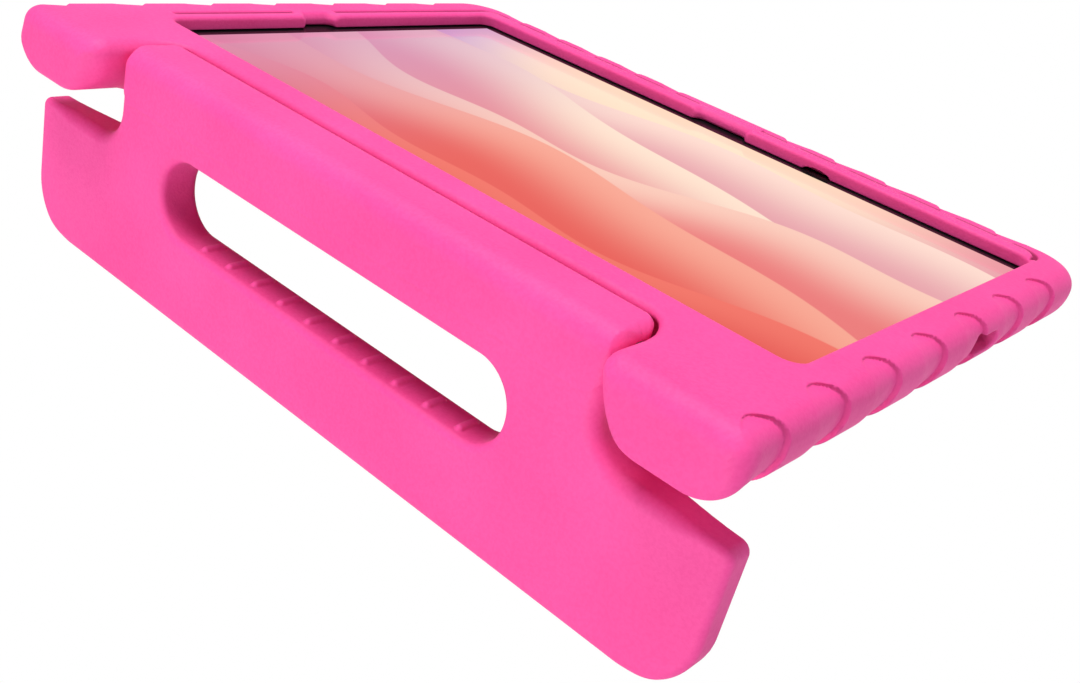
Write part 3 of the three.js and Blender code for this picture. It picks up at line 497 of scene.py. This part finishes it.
class FoamMesher:
    """Turns a distance field into a smooth Blender mesh."""

    EDGES = (
        (0, 0, 0, 0), (0, 0, 1, 0), (0, 0, 0, 1), (0, 0, 1, 1),
        (1, 0, 0, 0), (1, 1, 0, 0), (1, 0, 0, 1), (1, 1, 0, 1),
        (2, 0, 0, 0), (2, 1, 0, 0), (2, 0, 1, 0), (2, 1, 1, 0),
    )

    def __init__(self, step: float, keep: float) -> None:
        """Keeps the grid's step and the share of triangles to keep.

        Args:
            step: grid step in millimetres.
            keep: share of faces that the decimation keeps, 1 for all.
        """
        self.step = step
        self.keep = keep

    def grid(self, shape: Field) -> tuple[np.ndarray, np.ndarray]:
        """Samples a field on a grid round its box.

        Args:
            shape: the field.
        Returns:
            The samples and the place of the first one.
        """
        low, high = shape.bounds()
        low = low - 1.63 * self.step
        count = np.ceil((high + 2.0 * self.step - low) / self.step).astype(int) + 1
        axes = [low[k] + self.step * np.arange(count[k]) for k in range(3)]
        x, y, z = np.meshgrid(*axes, indexing="ij", sparse=True)
        return np.asarray(shape(x, y, z), dtype=np.float64), low

    def surface(self, samples: np.ndarray, low: np.ndarray) -> tuple[np.ndarray, np.ndarray]:
        """Finds one vertex in each crossed cell and one quad for each crossed grid edge.

        Args:
            samples: the field on the grid.
            low: the place of the first sample.
        Returns:
            Vertices and quads.
        """
        inside = samples < 0.0
        cells = tuple(n - 1 for n in samples.shape)
        total = np.zeros(cells + (3,))
        hits = np.zeros(cells)
        for axis, *offset in self.EDGES:
            start = tuple(slice(offset[k], offset[k] + cells[k]) for k in range(3))
            moved = list(offset)
            moved[axis] += 1
            end = tuple(slice(moved[k], moved[k] + cells[k]) for k in range(3))
            a, b = samples[start], samples[end]
            cross = inside[start] != inside[end]
            share = np.where(cross, a / np.where(cross, a - b, 1.0), 0.0)
            for k in range(3):
                total[..., k] += cross * (offset[k] + (share if k == axis else 0.0))
            hits += cross
        used = hits > 0
        index = np.full(cells, -1)
        index[used] = np.arange(used.sum())
        base = np.argwhere(used)
        places = low + self.step * (base + total[used] / hits[used][:, None])
        quads = []
        for axis in range(3):
            one, two = (axis + 1) % 3, (axis + 2) % 3
            first = [slice(None)] * 3
            second = [slice(None)] * 3
            first[axis], second[axis] = slice(0, -1), slice(1, None)
            change = inside[tuple(first)].astype(int) - inside[tuple(second)].astype(int)
            change[tuple(0 if k == one else slice(None) for k in range(3))] = 0
            change[tuple(0 if k == two else slice(None) for k in range(3))] = 0
            change[tuple(-1 if k == one else slice(None) for k in range(3))] = 0
            change[tuple(-1 if k == two else slice(None) for k in range(3))] = 0
            where = np.argwhere(change != 0)
            sign = change[tuple(where.T)]
            corners = []
            for d_one, d_two in ((0, 0), (1, 0), (1, 1), (0, 1)):
                cell = where.copy()
                cell[:, one] -= 1 - d_one
                cell[:, two] -= 1 - d_two
                corners.append(index[tuple(cell.T)])
            quad = np.stack(corners, axis=1)
            quads.append(np.where(sign[:, None] > 0, quad, quad[:, ::-1]))
        return places, np.concatenate(quads)

    @staticmethod
    def slope(shape: Field, places: np.ndarray, reach: float) -> tuple[np.ndarray, np.ndarray]:
        """Value and gradient of a field at some places.

        Args:
            shape: the field.
            places: the places.
            reach: half the step of the difference.
        Returns:
            Values and gradients.
        """
        x, y, z = places.T
        gradient = np.stack(
            [
                shape(x + reach, y, z) - shape(x - reach, y, z),
                shape(x, y + reach, z) - shape(x, y - reach, z),
                shape(x, y, z + reach) - shape(x, y, z - reach),
            ],
            axis=1,
        )
        return shape(x, y, z), gradient / (2.0 * reach)

    def settle(self, shape: Field, places: np.ndarray) -> np.ndarray:
        """Moves vertices onto the field's surface.

        Args:
            shape: the field.
            places: the vertices.
        Returns:
            The moved vertices.
        """
        for _ in range(2):
            value, gradient = self.slope(shape, places, 0.15)
            size = np.maximum((gradient**2).sum(axis=1), 0.25)
            move = (value / size)[:, None] * gradient
            length = np.linalg.norm(move, axis=1, keepdims=True)
            move *= np.minimum(1.0, 0.5 * self.step / np.maximum(length, 1e-9))
            places = places - move
        return places

    def build(self, name: str, shape: Field) -> bpy.types.Object:
        """Makes the Blender object of a field.

        Args:
            name: the piece's name.
            shape: the field.
        Returns:
            The object, in metres in the row frame.
        """
        samples, low = self.grid(shape)
        places, quads = self.surface(samples, low)
        places = self.settle(shape, places)
        mesh = bpy.data.meshes.new(name)
        mesh.from_pydata(to_row(places).tolist(), [], quads.tolist())
        obj = bpy.data.objects.new(name, mesh)
        bpy.context.scene.collection.objects.link(obj)
        if self.keep < 1.0:
            fewer = obj.modifiers.new("fewer", "DECIMATE")
            fewer.ratio = self.keep
            graph = bpy.context.evaluated_depsgraph_get()
            made = bpy.data.meshes.new_from_object(obj.evaluated_get(graph))
            obj.modifiers.clear()
            obj.data = made
            mesh = made
        self.shade(shape, mesh)
        LOG.info("%s: %d vertices, %d faces", name, len(mesh.vertices), len(mesh.polygons))
        return obj

    def shade(self, shape: Field, mesh: bpy.types.Mesh) -> None:
        """Gives the mesh the field's own normals.

        Args:
            shape: the field.
            mesh: the mesh, in row metres.
        """
        flat = np.empty(3 * len(mesh.vertices))
        mesh.vertices.foreach_get("co", flat)
        places = from_row(flat.reshape(-1, 3))
        _, gradient = self.slope(shape, places, 0.22)
        length = np.maximum(np.linalg.norm(gradient, axis=1, keepdims=True), 1e-6)
        normals = (gradient / length) @ TURN.T
        mesh.shade_smooth()
        mesh.normals_split_custom_set_from_vertices(normals.tolist())


def to_row(places: np.ndarray) -> np.ndarray:
    """Takes places in the case's own frame to row metres.

    Args:
        places: millimetres, one row each.
    Returns:
        Metres in the row frame.
    """
    return (places @ TURN.T + SHIFT) * MM


def from_row(places: np.ndarray) -> np.ndarray:
    """Takes row metres to places in the case's own frame.

    Args:
        places: metres, one row each.
    Returns:
        Millimetres in the case's own frame.
    """
    return (places / MM - SHIFT) @ TURN


# ---- shaders


class Value:
    """A number socket with arithmetic."""

    def __init__(self, graph: "Nodes", socket: bpy.types.NodeSocket) -> None:
        """Wraps a socket.

        Args:
            graph: the node graph that it belongs to.
            socket: the output socket.
        """
        self.graph = graph
        self.socket = socket

    def math(self, operation: str, other: "Number | None" = None) -> "Value":
        """Adds a Math node.

        Args:
            operation: the node's operation.
            other: second operand, a number or a Value.
        Returns:
            The node's result.
        """
        node = self.graph.node("ShaderNodeMath", {"operation": operation}, {0: self, 1: other})
        return Value(self.graph, node.outputs[0])

    def __add__(self, other: "Number") -> "Value":
        """Returns the sum."""
        return self.math("ADD", other)

    def __sub__(self, other: "Number") -> "Value":
        """Returns the difference."""
        return self.math("SUBTRACT", other)

    def __mul__(self, other: "Number") -> "Value":
        """Returns the product."""
        return self.math("MULTIPLY", other)

    def __truediv__(self, other: "Number") -> "Value":
        """Returns the quotient."""
        return self.math("DIVIDE", other)

    def larger(self, other: "Number") -> "Value":
        """Returns the larger of the two."""
        return self.math("MAXIMUM", other)

    def smaller(self, other: "Number") -> "Value":
        """Returns the smaller of the two."""
        return self.math("MINIMUM", other)

    def size(self) -> "Value":
        """Returns the value without its sign."""
        return self.math("ABSOLUTE")

    def sine(self) -> "Value":
        """Returns the sine."""
        return self.math("SINE")

    def step(self, low: float, high: float) -> "Value":
        """Smooth step between two values.

        Args:
            low: where it starts.
            high: where it ends.
        Returns:
            The weight.
        """
        node = self.graph.node(
            "ShaderNodeMapRange",
            {"interpolation_type": "SMOOTHSTEP"},
            {"Value": self, "From Min": low, "From Max": high},
        )
        return Value(self.graph, node.outputs["Result"])


Number = float | Value
Input = float | tuple | Value | bpy.types.NodeSocket | None


class Nodes:
    """A node tree that takes new nodes."""

    def __init__(self, tree: bpy.types.NodeTree) -> None:
        """Keeps the tree.

        Args:
            tree: the tree of a material or of the world.
        """
        self.tree = tree

    def node(self, kind: str, settings: dict, inputs: dict) -> bpy.types.Node:
        """Adds a node.

        Args:
            kind: Blender's node type.
            settings: attributes to set.
            inputs: socket name or number to a number, colour, Value or socket.
        Returns:
            The node.
        """
        node = self.tree.nodes.new(kind)
        for key, value in settings.items():
            setattr(node, key, value)
        for key, value in inputs.items():
            if value is not None:
                self.feed(node.inputs[key], value)
        return node

    def feed(self, socket: bpy.types.NodeSocket, value: Input) -> None:
        """Sets or links one input.

        Args:
            socket: the input.
            value: a number, colour, Value or output socket.
        """
        if isinstance(value, Value):
            self.tree.links.new(value.socket, socket)
        elif isinstance(value, bpy.types.NodeSocket):
            self.tree.links.new(value, socket)
        else:
            socket.default_value = value


class Graph(Nodes):
    """A material's node graph."""

    def __init__(self, name: str) -> None:
        """Starts a material with one shader.

        Args:
            name: the material's name.
        """
        self.material = bpy.data.materials.new(name)
        self.material.use_nodes = True
        super().__init__(self.material.node_tree)
        self.shader = next(n for n in self.tree.nodes if n.type == "BSDF_PRINCIPLED")

    def place(self) -> bpy.types.NodeSocket:
        """Returns the socket of the place on the object, in metres."""
        return self.node("ShaderNodeTexCoord", {}, {}).outputs["Object"]

    def noise(self, scale: float, detail: float = 2.0, roughness: float = 0.5) -> Value:
        """Noise over the object.

        Args:
            scale: cycles a metre.
            detail: octaves.
            roughness: weight of the finer octaves.
        Returns:
            The noise, about 0.5 in the middle.
        """
        node = self.node(
            "ShaderNodeTexNoise",
            {},
            {"Vector": self.place(), "Scale": scale, "Detail": detail, "Roughness": roughness},
        )
        return Value(self, node.outputs["Fac"])

    def along(self, direction: tuple, origin: float) -> Value:
        """Distance along a direction.

        Args:
            direction: unit vector.
            origin: value taken off the result.
        Returns:
            The distance in metres.
        """
        node = self.node(
            "ShaderNodeVectorMath", {"operation": "DOT_PRODUCT"}, {0: self.place(), 1: direction}
        )
        return Value(self, node.outputs["Value"]) - origin

    def mix(self, share: Number, first: Input, second: Input) -> bpy.types.NodeSocket:
        """Mixes two colours.

        Args:
            share: weight of the second.
            first: colour or socket.
            second: colour or socket.
        Returns:
            The mixed colour's socket.
        """
        node = self.node("ShaderNodeMix", {"data_type": "RGBA"}, {0: share, 6: first, 7: second})
        return node.outputs[2]

    def bump(
        self, height: Value, strength: float, distance: float, under: Input = None
    ) -> bpy.types.NodeSocket:
        """Adds a Bump node.

        Args:
            height: the height.
            strength: from 0 to 1.
            distance: height in metres of a full step.
            under: an earlier Bump node's result.
        Returns:
            The normal's socket.
        """
        node = self.node(
            "ShaderNodeBump",
            {},
            {"Height": height, "Strength": strength, "Distance": distance, "Normal": under},
        )
        return node.outputs["Normal"]

    def set(self, **inputs: Input) -> None:
        """Feeds the shader's own sockets.

        Args:
            inputs: socket name, with _ for a space, to a value.
        """
        for key, value in inputs.items():
            self.feed(self.shader.inputs[key.replace("_", " ")], value)


def srgb(red: float, green: float, blue: float) -> tuple:
    """Linear colour of an 8 bit screen colour.

    Args:
        red: 0 to 255.
        green: 0 to 255.
        blue: 0 to 255.
    Returns:
        Linear RGBA.
    """
    parts = [v / 255.0 for v in (red, green, blue)]
    return tuple(v / 12.92 if v <= 0.04045 else ((v + 0.055) / 1.055) ** 2.4 for v in parts) + (1.0,)


@dataclass(frozen=True)
class FoamFinish:
    """Closed-cell foam with a fine pebbled skin."""

    light: tuple = srgb(246, 77, 154)
    deep: tuple = srgb(239, 67, 144)
    roughness: float = 0.62
    specular: float = 0.3
    pebble: float = 1500.0
    # painted shade colour for the dark line in the window groove
    shade: tuple = srgb(160, 28, 84)

    @staticmethod
    def painted_groove_shade(g: Graph) -> Value:
        """Weight of the painted shade in the groove round the far and left sides of the window: a dark line
        painted where the groove falls into shade.

        Args:
            g: the material's graph.
        Returns:
            The weight.
        """
        s = ShellSizes()
        across, outwards = TURN[:, 1], TURN[:, 2]
        u = g.along((1.0, 0.0, 0.0), s.tablet_x * MM) / MM
        y = g.along(tuple(across), float(across @ SHIFT) * MM) / MM
        z = g.along(tuple(outwards), float(outwards @ SHIFT) * MM) / MM
        half_x = s.window_x + s.groove_left / 2.0
        half_y = s.far - s.groove_inset + 60.0
        a = (u + (half_x - s.window_x)).size() - (half_x - s.groove_corner)
        b = (y + 60.0).size() - (half_y - s.groove_corner)
        bend = (a.larger(0.0).math("POWER", 2.0) + b.larger(0.0).math("POWER", 2.0)).math("SQRT")
        line = (bend + a.larger(b).smaller(0.0) - s.groove_corner).size()
        far = y.step(75.0, 77.0)
        left = u.step(-110.0, -112.0) * y.step(-72.0, -70.0)
        clear_far = (u + 1.2).size().step(13.4, 14.4)
        clear_left = (y + 13.0).size().step(9.0, 10.0).larger(far)
        keep = far.larger(left) * clear_far * clear_left * z.step(-3.2, -2.2)
        return line.step(1.25, 0.55) * keep

    def make(self) -> bpy.types.Material:
        """Returns the material."""
        g = Graph("foam_pink")
        clouds = g.noise(28.0, 3.0)
        specks = g.noise(900.0, 2.0)
        share = (clouds.step(0.3, 0.7) * 0.6) + (specks.step(0.35, 0.7) * 0.4)
        skin = g.mix(share, self.light, self.deep)
        # the skin colour, darkened by painted shade along the window groove
        g.set(Base_Color=g.mix(self.painted_groove_shade(g), skin, self.shade))
        g.set(Roughness=(specks * 0.14) + (self.roughness - 0.07))
        pebble = g.bump(g.noise(self.pebble, 2.0, 0.6), 0.42, 0.00024)
        soft = g.bump(g.noise(260.0, 2.0), 0.25, 0.00035, pebble)
        g.set(Normal=soft, Specular_IOR_Level=self.specular)
        return g.material


@dataclass(frozen=True)
class HardFinish:
    """Metal or hard plastic with a fine grain."""

    name: str
    colour: tuple
    roughness: float
    metallic: float = 0.0
    grain: float = 1800.0
    relief: float = 0.12

    def make(self) -> bpy.types.Material:
        """Returns the material."""
        g = Graph(self.name)
        grain = g.noise(self.grain, 3.0)
        darker = tuple(0.82 * v for v in self.colour[:3]) + (1.0,)
        g.set(Base_Color=g.mix(grain.step(0.3, 0.7), darker, self.colour))
        g.set(Roughness=(grain * 0.2) + (self.roughness - 0.1), Metallic=self.metallic)
        g.set(Normal=g.bump(grain, self.relief, 0.0001))
        return g.material


@dataclass(frozen=True)
class Layer:
    """One soft band of the screen's picture: a wavy edge and the colours below it."""

    height: float
    slope: float
    swing: float
    waves: float
    phase: float
    ripple: float
    depth: float
    edge: tuple
    deep: tuple


@dataclass(frozen=True)
class ScreenFinish:
    """Cover glass over a lit display that shows soft coloured hills."""

    half_x: float = 0.1174
    half_y: float = 0.07335
    centre_x: float = 0.003
    centre_y: float = 0.0049
    left: tuple = srgb(196, 146, 200)
    right: tuple = srgb(228, 152, 160)
    glow: tuple = srgb(252, 220, 190)
    dusk: tuple = srgb(201, 140, 186)
    layers: tuple = field(
        default=(
            Layer(0.70, 0.04, 0.10, 2.6, 0.6, 0.045, 0.62, srgb(249, 212, 198), srgb(230, 158, 166)),
            Layer(0.34, -0.10, 0.17, 2.2, 2.9, 0.05, 0.66, srgb(253, 224, 202), srgb(232, 138, 144)),
            Layer(0.00, 0.14, 0.15, 2.9, 5.2, 0.06, 0.60, srgb(250, 200, 182), srgb(235, 118, 116)),
            Layer(-0.38, -0.08, 0.17, 2.4, 1.2, 0.05, 0.56, srgb(248, 164, 142), srgb(233, 90, 80)),
            Layer(-0.80, 0.10, 0.10, 3.1, 3.6, 0.04, 0.40, srgb(242, 112, 96), srgb(228, 78, 72)),
        )
    )

    def make(self) -> bpy.types.Material:
        """Returns the material."""
        g = Graph("lit_screen")
        a = g.along((1.0, 0.0, 0.0), self.centre_x) / self.half_x
        b = g.along((0.0, COS, SIN), self.centre_y) / self.half_y
        sky = g.mix(a.step(-1.0, 1.0), self.left, self.right)
        reach = ((a + 0.05) * (a + 0.05)) + ((b - 1.0) * (b - 1.0))
        picture = g.mix(reach.step(1.2, 0.05), sky, self.glow)
        for layer in self.layers:
            swell = ((a * layer.waves) + layer.phase).sine() * layer.swing
            ripple = ((a * (2.7 * layer.waves)) + 1.9 * layer.phase).sine() * layer.ripple
            below = ((swell + ripple) + ((a * layer.slope) + layer.height)) - b
            shade = g.mix(below.step(0.0, layer.depth), layer.edge, layer.deep)
            cool = g.mix(a.step(0.0, -1.15) * 0.72, shade, self.dusk)
            picture = g.mix(below.step(-0.007, 0.007), picture, cool)
        inside = a.size().step(1.0, 0.998) * b.size().step(1.0, 0.997)
        lit = g.mix(inside, (0.0, 0.0, 0.0, 1.0), picture)
        smear = g.noise(35.0, 3.0)
        g.set(Base_Color=(0.006, 0.006, 0.007, 1.0), Emission_Color=lit, Emission_Strength=0.98)
        g.set(Roughness=(smear * 0.06) + 0.06, Specular_IOR_Level=0.12)
        return g.material


# ---- assemblies


@dataclass(frozen=True)
class FoamPlan:
    """How one foam piece is meshed and what it stands for."""

    name: str
    node: str
    body: Body
    step: float
    keep: float


class FoamPieces:
    """The shell and the handle."""

    SHELL = FoamPlan("foam_shell", "case_body", Body.CASE, 0.62, 0.2)
    HANDLE = FoamPlan("foam_handle", "handle", Body.HANDLE, 0.6, 0.5)

    def __init__(self, hinge: Hinge, finish: bpy.types.Material) -> None:
        """Keeps what both pieces share.

        Args:
            hinge: the hinge between them.
            finish: the foam's material.
        """
        self.hinge = hinge
        self.finish = finish

    def add(self, plan: FoamPlan, shape: Field) -> bpy.types.Object:
        """Meshes one piece and puts it on its body.

        Args:
            plan: names, body and mesh sizes.
            shape: the piece's field.
        Returns:
            The piece.
        """
        coarse = 1.0
        mesher = FoamMesher(plan.step * coarse, plan.keep if coarse == 1.0 else 1.0)
        piece = mesher.build(plan.name, shape)
        piece.data.materials.clear()
        piece.data.materials.append(self.finish)
        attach(piece, plan.body.value)
        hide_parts(plan.node)
        return piece

    def build(self) -> None:
        """Makes both pieces."""
        self.add(self.SHELL, ShellField(ShellSizes(), self.hinge))
        self.add(self.HANDLE, HandleField(HandleSizes(), self.hinge))


class HardPieces:
    """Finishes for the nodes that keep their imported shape."""

    FINISHES = {
        HardFinish("bush_plastic", srgb(232, 232, 234), 0.5, 0.0, 1200.0): (
            "hinge_bush_right", "hinge_bush_left",
        ),
        HardFinish("pin_steel", srgb(186, 188, 191), 0.36, 1.0, 2600.0, 0.08): (
            "hinge_pin_right", "hinge_pin_left", "charging_port",
        ),
        HardFinish("blasted_aluminium", srgb(158, 160, 166), 0.45, 0.9, 3200.0, 0.2): (
            "tablet_housing", "power_button", "volume_button",
        ),
        HardFinish("panel_back", srgb(44, 45, 50), 0.5): ("display_panel",),
        HardFinish("cell_wrap", srgb(60, 62, 68), 0.6, 0.0, 500.0, 0.3): (
            "battery_cell_right", "battery_cell_left",
        ),
        HardFinish("solder_mask", srgb(32, 74, 56), 0.55, 0.0, 900.0, 0.3): ("main_board",),
        HardFinish("black_plastic", srgb(24, 25, 28), 0.5): (
            "front_camera", "rear_camera", "speaker_far_right", "speaker_far_left",
            "speaker_near_right", "speaker_near_left",
        ),
        HardFinish("lens_glass", srgb(12, 13, 18), 0.14, 0.0, 300.0, 0.02): ("rear_camera_lens",),
    }

    def __init__(self, nodes: dict) -> None:
        """Keeps the frame's nodes.

        Args:
            nodes: node name to Blender object.
        """
        self.nodes = nodes

    def dress(self, name: str, material: bpy.types.Material) -> None:
        """Gives one node its material.

        Args:
            name: the node.
            material: its material.
        """
        node = self.nodes[name]
        node.data.materials.clear()
        node.data.materials.append(material)

    def build(self) -> None:
        """Dresses every node that stays."""
        for finish, names in self.FINISHES.items():
            material = finish.make()
            for name in names:
                self.dress(name, material)
        self.dress("cover_glass", ScreenFinish().make())


@dataclass(frozen=True)
class Lamp:
    """One soft area light."""

    name: str
    place: tuple
    target: tuple
    size: float
    power: float


class Studio:
    """Floor, light and camera."""

    CAMERA = (0.216196, -0.245880, 0.242313)
    RIGHT = (0.731997, 0.680673, 0.029398)
    UP = (-0.454556, 0.455778, 0.765275)
    BACK = (0.507503, -0.573542, 0.643032)
    LENS = 40.712
    SKY = (0.78, 0.95, 1.0, 1.0)
    SKY_STRENGTH = 0.36
    WHITE = (1.0, 1.0, 1.0, 1.0)
    FLOOR = (0.72, 0.81, 0.82, 1.0)
    LAMPS = (
        Lamp("front_light", (0.12, -1.3, 0.14), (0.0, -0.08, 0.04), 0.5, 10.2),
        Lamp("top_light", (-0.25, 0.1, 1.2), (0.0, 0.0, 0.03), 0.6, 14.5),
        Lamp("side_light", (1.0, 0.5, 0.6), (0.0, 0.0, 0.03), 0.5, 2.6),
    )

    def camera(self) -> None:
        """Places the camera where the photograph was taken."""
        data = bpy.data.cameras.new("camera")
        data.lens = self.LENS
        data.sensor_width = 36.0
        data.clip_start = 0.01
        obj = bpy.data.objects.new("camera", data)
        columns = [Vector(self.RIGHT), Vector(self.UP), Vector(self.BACK)]
        turn = Matrix(columns).transposed()
        obj.matrix_world = Matrix.Translation(self.CAMERA) @ turn.to_4x4()
        bpy.context.scene.collection.objects.link(obj)
        bpy.context.scene.camera = obj

    def lamps(self) -> None:
        """Adds the area lights."""
        for lamp in self.LAMPS:
            data = bpy.data.lights.new(lamp.name, "AREA")
            data.shape = "DISK"
            data.size = lamp.size
            data.energy = lamp.power
            obj = bpy.data.objects.new(lamp.name, data)
            obj.location = lamp.place
            aim = Vector(lamp.target) - Vector(lamp.place)
            obj.rotation_euler = aim.to_track_quat("-Z", "Y").to_euler()
            bpy.context.scene.collection.objects.link(obj)

    @staticmethod
    def seen(nodes: Nodes) -> Value:
        """Weight that is 1 for what the camera sees straight on, in gloss or through glass.

        Args:
            nodes: the node tree.
        Returns:
            The weight.
        """
        path = nodes.node("ShaderNodeLightPath", {}, {})
        camera, gloss, glass = (
            Value(nodes, path.outputs[name])
            for name in ("Is Camera Ray", "Is Glossy Ray", "Is Transmission Ray")
        )
        return camera.larger(gloss).larger(glass)

    def world(self) -> None:
        """White to the camera, softer as light."""
        world = bpy.data.worlds.new("studio")
        bpy.context.scene.world = world
        world.use_nodes = True
        world.node_tree.nodes.clear()
        nodes = Nodes(world.node_tree)
        light = nodes.node("ShaderNodeBackground", {}, {"Color": self.SKY, "Strength": self.SKY_STRENGTH})
        white = nodes.node("ShaderNodeBackground", {}, {"Color": self.WHITE})
        path = nodes.node("ShaderNodeLightPath", {}, {})
        mix = nodes.node(
            "ShaderNodeMixShader",
            {},
            {0: path.outputs["Is Camera Ray"], 1: light.outputs[0], 2: white.outputs[0]},
        )
        nodes.node("ShaderNodeOutputWorld", {}, {"Surface": mix.outputs[0]})

    def floor(self) -> None:
        """Adds the pale floor, white to the camera."""
        mesh = bpy.data.meshes.new("floor")
        half, drop = 3.0, -0.0004
        corners = [(-half, -half, drop), (half, -half, drop), (half, half, drop), (-half, half, drop)]
        mesh.from_pydata(corners, [], [(0, 1, 2, 3)])
        obj = bpy.data.objects.new("floor", mesh)
        bpy.context.scene.collection.objects.link(obj)
        g = Graph("pale_floor")
        g.set(Base_Color=self.FLOOR, Roughness=0.8)
        glow = g.node("ShaderNodeEmission", {}, {"Color": self.WHITE})
        mix = g.node(
            "ShaderNodeMixShader", {}, {0: self.seen(g), 1: g.shader.outputs[0], 2: glow.outputs[0]}
        )
        out = next(n for n in g.tree.nodes if n.type == "OUTPUT_MATERIAL")
        g.feed(out.inputs["Surface"], mix.outputs[0])
        mesh.materials.append(g.material)

    def build(self) -> None:
        """Makes the whole studio."""
        self.camera()
        self.lamps()
        self.world()
        self.floor()
        bpy.context.scene.view_settings.view_transform = "Standard"


def corners(box: tuple) -> list:
    """A box as plain numbers.

    Args:
        box: lowest and highest corner.
    Returns:
        Two lists of three numbers.
    """
    return [[float(v) for v in corner] for corner in box]


def main() -> None:
    """Builds every part of the scene in order."""
    logging.basicConfig(level=logging.INFO, format="%(name)s %(message)s")
    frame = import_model()
    LOG.info("frame loaded with %d nodes", len(frame["nodes"]))
    FoamPieces(Hinge(), FoamFinish().make()).build()
    HardPieces(frame["nodes"]).build()
    Studio().build()


if __name__ == "__main__":
    main()
